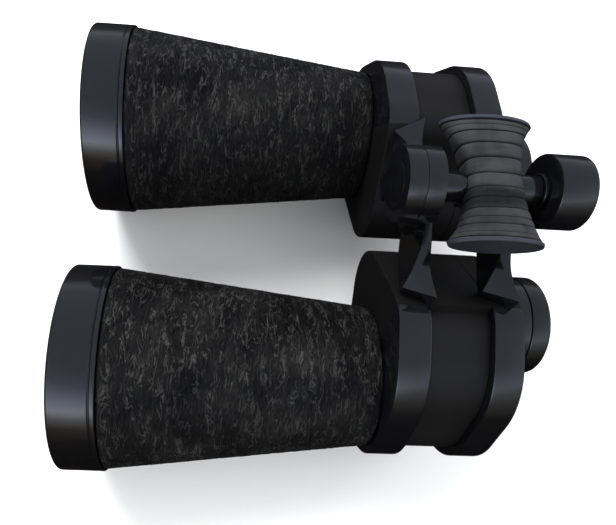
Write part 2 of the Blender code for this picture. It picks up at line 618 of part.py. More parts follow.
def build():
    fold = empty("fold_axis", ROOT, (0, FRONT_HINGE_Y, HINGE_Z))
    for name, side in SIDES:
        half = fold if side > 0 else ROOT
        barrel(name, side, half)
        rear_plate = housing(name, side, half)
        prisms(name, side, half)
        eyepiece(name, side, half, rear_plate)
        arm("front", name, side, half, FRONT_KNUCKLE, FRONT_ARM_SHIFT)
        arm("rear", name, side, half, REAR_KNUCKLE, REAR_ARM_SHIFT)
    hinge()
    saddle()


build()
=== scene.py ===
"""The looks of the binoculars: enamelled metal, fibrous leather, ribbed rubber and coated glass."""
import math

import bmesh
import bpy
from mathutils import Matrix, Vector, noise


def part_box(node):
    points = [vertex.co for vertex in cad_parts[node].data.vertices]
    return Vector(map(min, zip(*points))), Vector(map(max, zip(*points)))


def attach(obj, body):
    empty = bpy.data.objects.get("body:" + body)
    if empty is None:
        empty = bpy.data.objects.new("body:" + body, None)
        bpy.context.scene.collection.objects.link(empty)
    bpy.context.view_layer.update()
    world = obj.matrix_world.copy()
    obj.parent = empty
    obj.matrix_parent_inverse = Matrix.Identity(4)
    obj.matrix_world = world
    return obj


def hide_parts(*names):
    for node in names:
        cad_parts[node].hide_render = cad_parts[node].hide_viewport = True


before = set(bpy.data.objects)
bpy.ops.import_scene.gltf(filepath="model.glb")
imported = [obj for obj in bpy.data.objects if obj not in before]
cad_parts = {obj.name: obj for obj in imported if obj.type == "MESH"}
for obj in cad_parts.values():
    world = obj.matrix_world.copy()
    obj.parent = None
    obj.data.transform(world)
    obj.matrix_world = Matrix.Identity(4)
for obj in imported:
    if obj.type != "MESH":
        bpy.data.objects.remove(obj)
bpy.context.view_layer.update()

MM = 0.001
TURN = 2 * math.pi
SIDES = (("left", 1), ("right", -1))
HALVES = {"left": "left_half", "right": "right_half"}


def middle(low_high):
    return (low_high[0] + low_high[1]) / 2


# Driving places, read from the frame and kept in millimetres
RIM_BOX = [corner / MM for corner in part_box("objective_rim_left")]
COVER_BOX = [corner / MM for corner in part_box("barrel_cover_left")]
PLATE_BOX = [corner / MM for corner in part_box("front_plate_left")]
BODY_BOX = [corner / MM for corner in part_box("housing_left")]
REAR_BOX = [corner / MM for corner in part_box("rear_plate_left")]
RING_BOX = [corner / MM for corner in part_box("focus_ring_left")]
CUP_BOX = [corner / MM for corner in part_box("eyecup_left")]
KNOB_BOX = [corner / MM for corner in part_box("clamp_knob")]
FRONT_Y = RIM_BOX[0].y
AXIS_X = middle(RIM_BOX).x
AXIS_Z = middle(RIM_BOX).z
EYE_X = middle(RING_BOX).x
EYE_Z = middle(RING_BOX).z
HINGE_Z = middle(KNOB_BOX).z
RIM_R = (RIM_BOX[1].x - RIM_BOX[0].x) / 2
EYE_R = (RING_BOX[1].x - RING_BOX[0].x) / 2
KNOB_R = (KNOB_BOX[1].x - KNOB_BOX[0].x) / 2

# Lobes of the prism housing: x and z from the objective axis, and radius
INNER = (-28.4, 6.5, 19.2)
CREST = (-13.3, 28.8, 14.0)
OUTER = (-7.2, 11.2, 30.0)
LOBES = ((0.0, 0.0, 29.2), INNER, CREST, OUTER)
# The flat side by the hinge, by the direction its surface faces
FLAT_FROM = math.radians(112)
FLAT_TO = math.radians(262)

# Walls and steps that several pieces share
RIM_WALL = 1.75         # from the rim's outside to the bore round the objective's cell
BARREL_REAR_R = 26.5    # of the leather, where it meets the front plate
COVER_WALL = 1.15
SHELL_WALL = 2.2        # of the plates and the body
FLANGE_STEP = 3.2       # from the plates' outline in to the body's


# ---------------------------------------------------------------- materials

class Nodes:
    """A small helper that builds one material's node tree."""

    def __init__(self, name):
        self.material = bpy.data.materials.new(name)
        self.material.use_nodes = True
        self.tree = self.material.node_tree
        self.shader = self.tree.nodes["Principled BSDF"]

    def add(self, kind, **settings):
        node = self.tree.nodes.new(kind)
        for key, value in settings.items():
            setattr(node, key, value)
        return node

    def link(self, source, target):
        self.tree.links.new(source, target)
        return source

    def place(self, attribute=None, stretch=(1, 1, 1)):
        """Coordinates in metres: the object's own, or a stored wrap-round attribute."""
        if attribute:
            source = self.add("ShaderNodeAttribute", attribute_name=attribute).outputs["Vector"]
        else:
            source = self.add("ShaderNodeTexCoord").outputs["Object"]
        scaled = self.add("ShaderNodeMapping")
        scaled.inputs["Scale"].default_value = stretch
        self.link(source, scaled.inputs["Vector"])
        return scaled.outputs["Vector"]

    def noise(self, where, scale, detail=4.0, roughness=0.55, distortion=0.0):
        node = self.add("ShaderNodeTexNoise")
        self.link(where, node.inputs["Vector"])
        node.inputs["Scale"].default_value = scale
        node.inputs["Detail"].default_value = detail
        node.inputs["Roughness"].default_value = roughness
        node.inputs["Distortion"].default_value = distortion
        return node.outputs["Fac"]

    def ramp(self, value, stops):
        """Maps a value through stops of (position, grey or colour)."""
        node = self.add("ShaderNodeValToRGB")
        self.link(value, node.inputs["Fac"])
        elements = node.color_ramp.elements
        while len(elements) < len(stops):
            elements.new(0.5)
        for element, (position, colour) in zip(elements, stops):
            element.position = position
            rgb = (colour,) * 3 if isinstance(colour, (int, float)) else colour
            element.color = (*rgb, 1)
        return node.outputs["Color"]

    def math(self, operation, a, b):
        node = self.add("ShaderNodeMath", operation=operation)
        for socket, value in zip(node.inputs, (a, b)):
            if isinstance(value, (int, float)):
                socket.default_value = value
            else:
                self.link(value, socket)
        return node.outputs[0]

    def mix(self, factor, a, b):
        node = self.add("ShaderNodeMix", data_type="RGBA")
        self.link(factor, node.inputs["Factor"])
        for socket, value in ((node.inputs[6], a), (node.inputs[7], b)):
            if isinstance(value, tuple):
                socket.default_value = (*value, 1)
            else:
                self.link(value, socket)
        return node.outputs[2]

    def bump(self, height, strength, distance, below=None):
        node = self.add("ShaderNodeBump")
        node.inputs["Strength"].default_value = strength
        node.inputs["Distance"].default_value = distance
        self.link(height, node.inputs["Height"])
        if below:
            self.link(below, node.inputs["Normal"])
        return node.outputs["Normal"]

    def finish(self, colour, roughness, normal=None, **fixed):
        self.link(colour, self.shader.inputs["Base Color"])
        self.link(roughness, self.shader.inputs["Roughness"])
        if normal:
            self.link(normal, self.shader.inputs["Normal"])
        for socket, value in fixed.items():
            self.shader.inputs[socket.replace("_", " ")].default_value = value
        return self.material


def enamel(name, colour, worn, low_gloss, high_gloss, peel, **fixed):
    """Stoved enamel on metal: faint mottling, orange peel, and rubbed edges."""
    made = Nodes(name)
    where = made.place()
    mottling = made.noise(where, 55, 5)
    dust = made.noise(where, 900, 2)
    tint = made.ramp(mottling, ((0.3, colour), (0.75, tuple(c * 1.25 for c in colour))))
    edge = made.add("ShaderNodeAttribute", attribute_name="edge").outputs["Fac"]
    patches = made.ramp(made.noise(where, 420, 6, 0.7), ((0.55, 0.0), (0.8, 0.6)))
    rubbed = made.math("MULTIPLY", edge, patches)
    skin = made.mix(rubbed, tint, worn)
    haze = made.math("ADD", made.math("MULTIPLY", mottling, 0.7), made.math("MULTIPLY", dust, 0.3))
    gloss = made.ramp(haze, ((0.3, low_gloss), (0.7, high_gloss)))
    height = made.noise(where, 380, 2)
    return made.finish(skin, gloss, made.bump(height, peel, 0.0002), **fixed)


def leather():
    """Thin black leather: broken fibres that run round the barrel, lighter where they are rubbed."""
    made = Nodes("wrinkled_leather")
    fibres = made.place("wrap", (0.3, 1, 1))
    warp = made.noise(made.place("wrap"), 60, 3)
    threads = made.math("ABSOLUTE", made.math("SUBTRACT", made.noise(fibres, 520, 3, 0.5, 0.9), 0.5), 0)
    ridges = made.ramp(threads, ((0.0, 1.0), (0.02, 0.5), (0.06, 0.0)))
    broken = made.ramp(made.noise(fibres, 330, 3), ((0.42, 0.1), (0.6, 1.0)))
    fine = made.noise(fibres, 1500, 5, 0.7, 0.6)
    creases = made.math("ADD", made.math("MULTIPLY", made.math("MULTIPLY", ridges, broken), 0.5),
                        made.math("MULTIPLY", fine, 0.5))
    patches = made.math("ADD", creases, made.math("MULTIPLY", made.math("SUBTRACT", warp, 0.5), 0.5))
    tint = made.ramp(patches, ((0.16, (0.0007, 0.0007, 0.0007)), (0.3, (0.0055, 0.0055, 0.0055)),
                               (0.8, (0.042, 0.042, 0.041))))
    gloss = made.ramp(creases, ((0.2, 0.8), (0.8, 0.5)))
    deep = made.bump(creases, 0.6, 0.0006)
    return made.finish(tint, gloss, deep, Specular_IOR_Level=0.25)


def rubber():
    """Grey moulded rubber, with painted shade in its grooves (the mesh's edge values) and in a band across
    the grip.
    """
    made = Nodes("ribbed_rubber")
    where = made.place()
    along = made.place(None, (0.35, 1.0, 1.0))
    cloud = made.noise(along, 70, 5, 0.6, 0.6)
    rubs = made.noise(made.place(None, (1.0, 0.25, 0.6)), 260, 6, 0.65, 0.5)
    groove = made.add("ShaderNodeAttribute", attribute_name="edge").outputs["Fac"]
    shade = made.math("ADD", made.math("MULTIPLY", cloud, 0.6), made.math("MULTIPLY", rubs, 0.4))
    painted_shade = made.add("ShaderNodeAttribute", attribute_name="painted_shade").outputs["Fac"]
    # Painted shade: a band across the grip is darkened, standing in for the shade below its waist.
    tint = made.ramp(made.math("SUBTRACT", shade, made.math("MULTIPLY", painted_shade, 0.19)),
                     ((0.24, (0.004, 0.0042, 0.0045)), (0.36, (0.012, 0.0122, 0.013)),
                      (0.47, (0.026, 0.0265, 0.028)), (0.66, (0.043, 0.044, 0.046))))
    # Painted shade: the grooves between the bands are mixed towards near black.
    groove_shaded = made.mix(groove, tint, (0.004, 0.004, 0.004))
    gloss = made.ramp(rubs, ((0.3, 0.62), (0.7, 0.8)))
    grain = made.bump(made.noise(where, 2600, 3), 0.25, 0.0001)
    return made.finish(groove_shaded, gloss, grain, Specular_IOR_Level=0.3)


def bare_metal(name, colour, low_gloss, high_gloss, metallic=1.0):
    """Turned metal: fine rings about the optical axis, and a little tarnish."""
    made = Nodes(name)
    where = made.place()
    rings = made.noise(made.place(None, (0.05, 1, 0.05)), 3500, 3)
    tarnish = made.noise(where, 120, 6)
    tint = made.ramp(tarnish, ((0.3, tuple(c * 0.6 for c in colour)), (0.65, colour)))
    gloss = made.ramp(rings, ((0.35, low_gloss), (0.65, high_gloss)))
    return made.finish(tint, gloss, made.bump(rings, 0.15, 0.00005), Metallic=metallic)


def glass(name, colour, coat):
    """Optical glass with a bloomed surface and a little dust."""
    made = Nodes(name)
    where = made.place()
    dust = made.noise(where, 700, 4, 0.8)
    bloom = made.noise(where, 35, 2)
    tint = made.ramp(bloom, ((0.3, colour), (0.7, tuple(min(1, c * 1.15 + 0.01) for c in colour))))
    gloss = made.ramp(dust, ((0.55, 0.03), (0.8, 0.14)))
    return made.finish(tint, gloss, None, IOR=1.52, Transmission_Weight=0.85, Coat_Weight=1.0,
                       Coat_Roughness=0.04, Coat_Tint=(*coat, 1), Specular_IOR_Level=0.7)


GLOSS = enamel("gloss_enamel", (0.0032, 0.0033, 0.0042), (0.035, 0.033, 0.03), 0.06, 0.13, 0.03,
               Metallic=0.0, IOR=1.75, Specular_IOR_Level=0.5)
MATTE = enamel("matte_enamel", (0.0052, 0.0051, 0.005), (0.03, 0.029, 0.028), 0.5, 0.62, 0.25,
               Specular_IOR_Level=0.3)
PLATE_ENAMEL = enamel("plate_enamel", (0.02, 0.0225, 0.03), (0.03, 0.03, 0.03), 0.28, 0.4, 0.1, IOR=1.6)
PLASTIC = enamel("eyecup_plastic", (0.003, 0.0032, 0.004), (0.02, 0.02, 0.02), 0.08, 0.16, 0.04, IOR=1.75)
BLACKED = bare_metal("blackened_aluminium", (0.03, 0.03, 0.032), 0.5, 0.7, 0.4)
STEEL = bare_metal("turned_steel", (0.34, 0.34, 0.36), 0.25, 0.45)
BLACK_STEEL = enamel("blackened_steel", (0.012, 0.012, 0.0125), (0.08, 0.08, 0.085), 0.2, 0.4, 0.1,
                     Metallic=0.3)
BRASS = bare_metal("turned_brass", (0.5, 0.36, 0.14), 0.25, 0.45)
LEATHER = leather()
RUBBER = rubber()
GLASS = glass("coated_glass", (0.62, 0.74, 0.72), (0.85, 0.7, 1.0))
PRISM_GLASS = glass("prism_glass", (0.8, 0.86, 0.84), (1, 1, 1))


# ---------------------------------------------------------------- mesh building

CENTRE_R = 0.02         # the smallest ring round an axis, so that a turned piece has no bare point


def rounded(points, radius, segments=4, closed=True):
    """Turns each corner of an outline into a small curve. Returns (point, edge weight) pairs."""
    made = []
    count = len(points)
    for i, point in enumerate(points):
        corner = Vector(point)
        if not closed and i in (0, count - 1):
            made.append((tuple(corner), 0.0))
            continue
        before = Vector(points[i - 1]) - corner
        after = Vector(points[(i + 1) % count]) - corner
        cut = min(radius, before.length * 0.45, after.length * 0.45)
        a = corner + before.normalized() * cut
        b = corner + after.normalized() * cut
        for k in range(segments + 1):
            t = k / segments
            spot = a * (1 - t) ** 2 + corner * 2 * t * (1 - t) + b * t ** 2
            made.append((tuple(spot), 1.0 - abs(2 * t - 1)))
    return made


def mesh_piece(name, rings, weights, body, replaces, surfaces, closed_path, pick=None, sharp=40):
    """Skins closed rings of points, in millimetres, into one smooth mesh, with an edge weight per ring."""
    count = len(rings[0])
    points = [Vector(p) * MM for ring in rings for p in ring]
    faces = []
    picks = []
    last = len(rings) if closed_path else len(rings) - 1
    for r in range(last):
        s = (r + 1) % len(rings)
        for i in range(count):
            j = (i + 1) % count
            faces.append((r * count + i, r * count + j, s * count + j, s * count + i))
            picks.append(pick(r, i) if pick else 0)
    if not closed_path:
        faces.append(tuple(range(count))[::-1])
        faces.append(tuple(range((len(rings) - 1) * count, len(rings) * count)))
        picks += [0, 0]
    mesh = bpy.data.meshes.new(name)
    mesh.from_pydata(points, [], faces)
    edge = mesh.attributes.new("edge", "FLOAT", "POINT")
    edge.data.foreach_set("value", [weights[r] for r in range(len(rings)) for _ in range(count)])
    for surface in surfaces:
        mesh.materials.append(surface)
    mesh.polygons.foreach_set("material_index", picks)
    return finish_mesh(name, mesh, body, replaces, sharp)


def finish_mesh(name, mesh, body, replaces, sharp=40):
    """Welds, orients and shades a mesh, and fixes it to its body."""
    work = bmesh.new()
    work.from_mesh(mesh)
    bmesh.ops.remove_doubles(work, verts=work.verts, dist=0.002 * MM)
    bmesh.ops.dissolve_degenerate(work, edges=work.edges, dist=0.001 * MM)
    bmesh.ops.recalc_face_normals(work, faces=work.faces)
    if work.calc_volume(signed=True) < 0:
        bmesh.ops.reverse_faces(work, faces=work.faces)
    work.to_mesh(mesh)
    work.free()
    mesh.shade_smooth()
    mesh.set_sharp_from_angle(angle=math.radians(sharp))
    piece = bpy.data.objects.new(name, mesh)
    bpy.context.scene.collection.objects.link(piece)
    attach(piece, body)
    if replaces:
        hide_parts(*replaces)
    return piece


def lathe(name, profile, x, z, surface, body, replaces, soften=0.35, steps=144, sharp=40):
    """A closed profile of (y, radius) turned about a line along Y, and solid where it meets the axis."""
    path = [((y, max(radius, CENTRE_R)), weight) for (y, radius), weight in rounded(profile, soften)]
    rings = []
    for (y, radius), _ in path:
        rings.append([(x + radius * math.cos(TURN * i / steps), y, z + radius * math.sin(TURN * i / steps))
                      for i in range(steps)])
    return mesh_piece(name, rings, [w for _, w in path], body, replaces, [surface], True, sharp=sharp)


def tapered(y0, y1, outer, inner):
    """Profile of a tube: outer and inner are (front radius, rear radius)."""
    return [(y0, outer[0]), (y1, outer[1]), (y1, inner[1]), (y0, inner[0])]


# ---------------------------------------------------------------- barrels

def rim(name, side):
    """Turned rim with a narrow front lip inside it and a parting groove by the leather."""
    y0, y1 = FRONT_Y, RIM_BOX[1].y
    bore = RIM_R - RIM_WALL
    lip = bore - 2.6
    groove = y1 - 1.9
    profile = [(y0, RIM_R - 0.5), (y0 + 0.5, RIM_R - 0.12), (y0 + 3.0, RIM_R - 0.1),
               (groove - 0.35, RIM_R - 0.02), (groove, RIM_R - 0.45), (groove + 0.35, RIM_R - 0.02),
               (y1, RIM_R), (y1, bore), (y0 + 2, bore), (y0 + 2, lip + 0.6), (y0 + 0.9, lip), (y0, lip + 0.5)]
    lathe("rim_" + name, profile, side * AXIS_X, AXIS_Z, GLOSS, HALVES[name],
          ["objective_rim_" + name], 0.3, 192)


LEATHER_SINK = 0.28     # the leather's depth inside the frame's cover, which leaves room for its creases
BROAD, CREASE = 0.1, 0.12           # the heights of its broad unevenness and of its creases
TUCK, TUCK_REACH = 0.45, 0.5        # how deep its ends turn in, and over what length
LAP, SLIT = 0.22, 0.5               # the seam's raised edge, and the cut beside it
LAP_STEPS, SLIT_STEPS = 5, 4        # how many steps round the barrel each of those takes


def cover(name, side):
    """Leather sheath: fine creases, a turned-in edge at each end and a lapped seam underneath."""
    y0, y1 = COVER_BOX[0].y, COVER_BOX[1].y
    front_r = (COVER_BOX[1].x - COVER_BOX[0].x) / 2
    rows, steps = 150, 300
    seam = math.radians(-90)
    rings = []
    for r in range(rows + 1):
        share = r / rows
        y = y0 + (y1 - y0) * share
        plain = front_r + (BARREL_REAR_R - front_r) * share
        end = min(y - y0, y1 - y)
        tuck = TUCK * math.exp(-end / TUCK_REACH)
        ring = []
        for i in range(steps):
            turn = seam + TURN * i / steps
            spot = Vector((plain * math.cos(turn), y * 2.6, plain * math.sin(turn)))
            broad = noise.noise(spot / 9 + Vector((side * 7, 0, 0)))
            crease = noise.fractal(spot / 2.1, 0.9, 2.2, 4)
            lap = LAP if i < LAP_STEPS else 0.0
            slit = SLIT * math.exp(-(i / 1.1) ** 2) if i < SLIT_STEPS else 0.0
            radius = plain - LEATHER_SINK + BROAD * broad + CREASE * crease - tuck + lap - slit
            ring.append((side * AXIS_X + radius * math.cos(turn), y, AXIS_Z + radius * math.sin(turn)))
        rings.append(ring)
    for y, radius in ((y1, BARREL_REAR_R - COVER_WALL), (y0, front_r - COVER_WALL)):
        rings.append([(side * AXIS_X + radius * math.cos(seam + TURN * i / steps), y,
                       AXIS_Z + radius * math.sin(seam + TURN * i / steps)) for i in range(steps)])
    piece = mesh_piece("leather_" + name, rings, [0.0] * len(rings), HALVES[name],
                       ["barrel_cover_" + name], [LEATHER], True, sharp=80)
    wrap_attribute(piece, side, seam)


def wrap_attribute(piece, side, seam):
    """Stores how far round and along the barrel each point lies, for the leather's grain."""
    mesh = piece.data
    values = []
    for vertex in mesh.vertices:
        dx = vertex.co.x - side * AXIS_X * MM
        dz = vertex.co.z - AXIS_Z * MM
        turn = (math.atan2(dz, dx) - seam) % TURN
        values += [math.hypot(dx, dz) * turn, vertex.co.y, side * 0.1]
    made = mesh.attributes.new("wrap", "FLOAT_VECTOR", "POINT")
    made.data.foreach_set("vector", values)


def objective(name, side):
    """Blackened cell with the lens doublet, and the tube behind it, ridged inside against stray light."""
    x = side * AXIS_X
    y0 = FRONT_Y
    cell_r = RIM_R - RIM_WALL - 0.3
    cell_wall = 2.0
    cell = tapered(y0 + 2.3, y0 + 15, (cell_r,) * 2, (cell_r - cell_wall,) * 2)
    lathe("cell_" + name, cell, x, AXIS_Z, BLACKED, HALVES[name],
          ["objective_cell_" + name], 0.2)
    lens("crown_" + name, "objective_crown_" + name, x, AXIS_Z, HALVES[name], 1.6, 3.2)
    lens("flint_" + name, "objective_flint_" + name, x, AXIS_Z, HALVES[name], -3.2, -0.6)
    low, high = (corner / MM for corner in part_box("objective_tube_" + name))
    wide = (high.x - low.x) / 2
    narrow = BARREL_REAR_R - COVER_WALL - 0.35
    tube_wall = 1.7
    ridges, ridge_length, ridge_height = 16, 0.8, 0.7
    inside = []
    for k in range(ridges, -1, -1):
        share = k / ridges
        y = low.y + (high.y - low.y) * share
        radius = wide + (narrow - wide) * share - tube_wall
        inside += [(y, radius), (y - ridge_length, radius - ridge_height)] if k else [(y, radius)]
    lathe("tube_" + name, [(low.y, wide), (high.y, narrow)] + inside, x, AXIS_Z, BLACKED, HALVES[name],
          ["objective_tube_" + name], 0.1, 96)


def lens(name, node, x, z, body, front_sag, rear_sag):
    """A lens with truly curved faces and a ground edge, as thick at its rim as the frame's one."""
    low, high = (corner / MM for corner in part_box(node))
    radius = (high.x - low.x) / 2
    front_edge = low.y + max(0.0, front_sag)
    rear_edge = high.y - max(0.0, rear_sag)
    rows = 14
    shares = [i / rows for i in range(rows + 1)]
    front = [(front_edge - front_sag * (1 - s * s), radius * s) for s in shares]
    rear = [(rear_edge + rear_sag * (1 - s * s), radius * s) for s in reversed(shares)]
    lathe(name, front + rear, x, z, GLASS, body, [node], 0.15, 96, 30)


# ---------------------------------------------------------------- prism housings

def outline(side, grow, flush, steps):
    """The outline round the lobes by the direction its surface faces, with the flat side set apart."""
    points = []
    for i in range(steps):
        turn = TURN * i / steps
        direction = Vector((math.cos(turn), math.sin(turn)))
        x, z, radius = max(LOBES, key=lambda lobe: direction.dot(Vector(lobe[:2])) + lobe[2])
        reach = radius + (flush if FLAT_FROM < turn < FLAT_TO else grow)
        points.append((side * (AXIS_X + x + reach * direction.x), AXIS_Z + z + reach * direction.y))
    return points


def lobed(name, stations, hole, side, body, replaces, surfaces, steps=288):
    """Skins stations of (y, grow, flush, share of the hole): at share 1 the ring is the round hole."""
    hole_x, hole_z, hole_r = hole
    turns = [TURN * i / steps for i in range(steps)]
    round_hole = [(side * (hole_x + hole_r * math.cos(turn)), hole_z + hole_r * math.sin(turn))
                  for turn in turns]
    rings, weights = [], []
    for (y, grow, flush, share), weight in stations:
        around = outline(side, grow, flush, steps)
        rings.append([((1 - share) * u + share * hu, y, (1 - share) * v + share * hv)
                      for (u, v), (hu, hv) in zip(around, round_hole)])
        weights.append(weight)

    def flat_side(_, i):
        return 1 if len(surfaces) > 1 and FLAT_FROM < TURN * (i + 0.5) / steps < FLAT_TO else 0

    return mesh_piece(name, rings, weights, body, replaces, surfaces, True, flat_side, 35)


def wall(points, radius):
    """Stations along one side, with their corners rounded."""
    path = rounded([(y, grow, flush) for y, grow, flush in points], radius, closed=False)
    return [((*spot, 0.0), weight) for spot, weight in path]


BARREL_HOLE = (AXIS_X, AXIS_Z, 22.9)
EYEPIECE_HOLE = (EYE_X, EYE_Z, EYE_R - 2.5)
BODY_REACH = 0.25       # how far the body reaches into each plate's shoulder


def housing(name, side):
    """Front plate, body and rear plate: gloss flanges, with the flat side by the hinge left matte."""
    body = HALVES[name]
    inside = (-FLANGE_STEP - SHELL_WALL, -SHELL_WALL)
    face, shoulder = (-3, -3), (-3, -2)
    y0, y1 = PLATE_BOX[0].y, PLATE_BOX[1].y
    front = [((y0, 0, 0, 1.0), 0.0)]
    front += wall([(y0, *face), (y0, 0, 0), (y1, 0, 0), (y1, *shoulder)], 0.7)
    back = y0 + SHELL_WALL
    front += [((y1, *inside, 0.0), 0.0), ((back, *inside, 0.0), 0.0), ((back, *inside, 1.0), 0.0)]
    lobed("front_flange_" + name, front, BARREL_HOLE, side, body,
          ["front_plate_" + name], [GLOSS, MATTE])
    y0, y1 = BODY_BOX[0].y - BODY_REACH, BODY_BOX[1].y + BODY_REACH
    band = wall([(y0, -FLANGE_STEP - 1.5, -1.5), (y0, -FLANGE_STEP, -0.02), (y1, -FLANGE_STEP, -0.02),
                 (y1, -FLANGE_STEP - 1.5, -1.5)], 0.25)
    band += [((y1, *inside, 0.0), 0.0), ((y0, *inside, 0.0), 0.0)]
    lobed("body_" + name, band, BARREL_HOLE, side, body, ["housing_" + name], [MATTE])
    y0, y1 = REAR_BOX[0].y, REAR_BOX[1].y
    rear = [((y0, *inside, 0.0), 0.0)]
    rear += wall([(y0, *shoulder), (y0, 0, 0), (y1, 0, 0), (y1, *face)], 0.7)
    back = y1 - SHELL_WALL
    rear += [((y1, 0, 0, 1.0), 0.0), ((back, *inside, 1.0), 0.0), ((back, *inside, 0.0), 0.0)]
    lobed("rear_flange_" + name, rear, EYEPIECE_HOLE, side, body,
          ["rear_plate_" + name], [GLOSS, MATTE])
    for number in range(3):
        screw(name, number, side)


def screw(name, number, side):
    """Plate screw with a low crown and a real slot across its head."""
    low, high = (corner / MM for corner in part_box(f"plate_screw_{number}_{name}"))
    spot = (low + high) / 2
    radius = (high.x - low.x) / 2
    head = high.y + 0.05
    turn = 0.5 + 1.3 * number + (0.7 if side > 0 else 0)
    steps = 48
    rings, weights = [], []
    crown, crown_r = 0.06, radius - 0.25
    levels = [(low.y + 0.4, CENTRE_R), (low.y + 0.4, radius * 0.8), (head - 0.3, radius), (head, crown_r)]
    levels += [(head + crown * (1 - s * s), crown_r * s) for s in (0.75, 0.5, 0.25)]
    levels += [(head + crown, CENTRE_R)]
    for y, reach in levels:
        ring = []
        for i in range(steps):
            angle = TURN * i / steps
            u, v = reach * math.cos(angle), reach * math.sin(angle)
            across = abs(-u * math.sin(turn) + v * math.cos(turn))
            cut = 0.55 if y > head - 0.1 and across < 0.3 else 0.0
            ring.append((spot.x + u, y - cut, spot.z + v))
        rings.append(ring)
        weights.append(0.3)
    mesh_piece(f"screw_{number}_{name}", rings, weights, HALVES[name],
               [f"plate_screw_{number}_{name}"], [BLACK_STEEL], False, sharp=25)


# ---------------------------------------------------------------- eyepieces

def eyepiece(name, side):
    """Plain gloss focus ring, and an eyecup with a rounded, dished mouth over the eye lens."""
    x = side * EYE_X
    bore = EYE_R - 1.9
    mouth = (14.6, 13.4, 13.0)
    y0, y1 = RING_BOX[0].y, RING_BOX[1].y
    ring = [(y0, EYE_R - 0.25), (y0 + 0.4, EYE_R), (y1 - 0.2, EYE_R), (y1, EYE_R - 0.25),
            (y1, bore), (y0, bore)]
    lathe("focus_ring_gloss_" + name, ring, x, EYE_Z, GLOSS, "focus_ring_" + name,
          ["focus_ring_" + name], 0.2, 160)
    y0, y1 = CUP_BOX[0].y, CUP_BOX[1].y
    cup = [(y0, EYE_R - 0.2), (y0 + 0.3, EYE_R), (y1 - 0.8, EYE_R), (y1, EYE_R - 1.0), (y1, mouth[0]),
           (y1 - 1.4, mouth[1]), (y1 - 3.9, mouth[2]), (y1 - 3.9, bore), (y0, bore)]
    lathe("eyecup_gloss_" + name, cup, x, EYE_Z, PLASTIC, "ocular_" + name,
          ["eyecup_" + name], 0.6, 160)
    lens("eye_glass_" + name, "eye_lens_" + name, x, EYE_Z, "ocular_" + name, 1.5, 1.0)


# ---------------------------------------------------------------- hinge, arms and saddle

PARTING = 0.05          # half of the hairline between two hinge pieces
BORE_R = 3.3
PIN_R = 3.0
PIN_HEAD_R = 7.0
PIN_HEAD = 2.0          # its thickness
HEAD_RECESS = 2.4       # how deep the front knuckle is cut for it
ARM_DROP = 10.2         # the arm's top below the hinge axis
FOOT_X = 29.5
FOOT_RISE = 4.4         # the foot's highest corner above the crest
# Each pair of knuckles: distance behind the rims' face, radius, length, and how far its arm sits behind its
# middle
KNUCKLES = {"front": (104.7, 11.7, 11.3, 5.4), "rear": (129.6, 5.4, 9.8, 8.0)}
# Sections of an arm from knuckle to foot: share of the way, and six corners (across, along, up) from its
# spine: the low front edge, the ridge, the high rear edge, the toe, and the keel's rear and front corners
ARM_SECTIONS = (
    (0.0, ((0, -3.4, -6), (0, 2.2, -1.2), (0, 4.6, -0.2), (0, 4.4, -4.5), (0, 1, -8), (0, -2.5, -8))),
    (0.35, ((0, -4.7, -6.5), (0, 1.2, -1), (0, 4.1, -0.2), (0, 4, -4.5), (0, 1, -8), (0, -3.5, -8))),
    (0.7, ((0, -4.9, -7), (-0.3, -1.6, -1.2), (0.8, 3.6, -0.4), (1.2, 3.4, -4.8), (0.3, 1, -9),
           (0, -3.4, -9))),
    (1.0, ((-0.6, -3.5, -9), (-1.3, -5, -3.2), (2.7, 5.3, 0.3), (5.5, 3.8, -6.2), (3, 1, -11),
           (-1, -2, -11))),
)


def spline(values, t):
    """A smooth curve through a list of vectors (Catmull-Rom), with t from 0 to the last index."""
    i = min(int(t), len(values) - 2)
    u = t - i
    p1, p2 = values[i], values[i + 1]
    p0 = values[i - 1] if i else p1 * 2 - p2
    p3 = values[i + 2] if i + 2 < len(values) else p2 * 2 - p1
    return 0.5 * (2 * p1 + (p2 - p0) * u + (2 * p0 - 5 * p1 + 4 * p2 - p3) * u ** 2
                  + (3 * p1 - p0 - 3 * p2 + p3) * u ** 3)


def arm(which, name, side, knuckle_y, knuckle_r, length, shift):
    """Knuckle and cast arm: a bar that twists from level at the hinge to a pointed foot on the housing."""
    body = HALVES[name]
    half = length / 2
    y0 = knuckle_y + PARTING if side < 0 else knuckle_y + half + PARTING
    y1 = y0 + half - 2 * PARTING
    profile = [(y0, knuckle_r), (y1, knuckle_r), (y1, BORE_R)]
    if which == "front" and side < 0:
        recess = y0 + HEAD_RECESS
        profile += [(recess, BORE_R), (recess, PIN_HEAD_R + PARTING), (y0, PIN_HEAD_R + PARTING)]
    else:
        profile += [(y0, BORE_R)]
    lathe(f"{which}_knuckle_{name}", profile, 0, HINGE_Z, GLOSS, body,
          [f"{which}_arm_{name}"], 0.1, 144)
    foot_y = knuckle_y + half + shift
    root = Vector((knuckle_r * 0.4, foot_y, HINGE_Z - ARM_DROP))
    foot = Vector((FOOT_X, foot_y, AXIS_Z + CREST[1] + CREST[2] + FOOT_RISE))
    corners = [[root.lerp(foot, share) + Vector(offset) for offset in offsets]
               for share, offsets in ARM_SECTIONS]
    rings = []
    per_stretch = 12
    for k in range(per_stretch * (len(corners) - 1) + 1):
        ring = [spline([section[c] for section in corners], k / per_stretch) for c in range(6)]
        soft = rounded([tuple(p) for p in ring], 0.4, 3)
        rings.append([(side * p[0], p[1], p[2]) for p, _ in soft])
    mesh_piece(f"{which}_bar_{name}", rings, [0.15] * len(rings), body, [], [GLOSS], False,
               sharp=38)


NECK_DROP = 15.7        # the neck's foot below the hinge axis
NECK_INSET = 0.2        # clear of the neighbouring knuckle


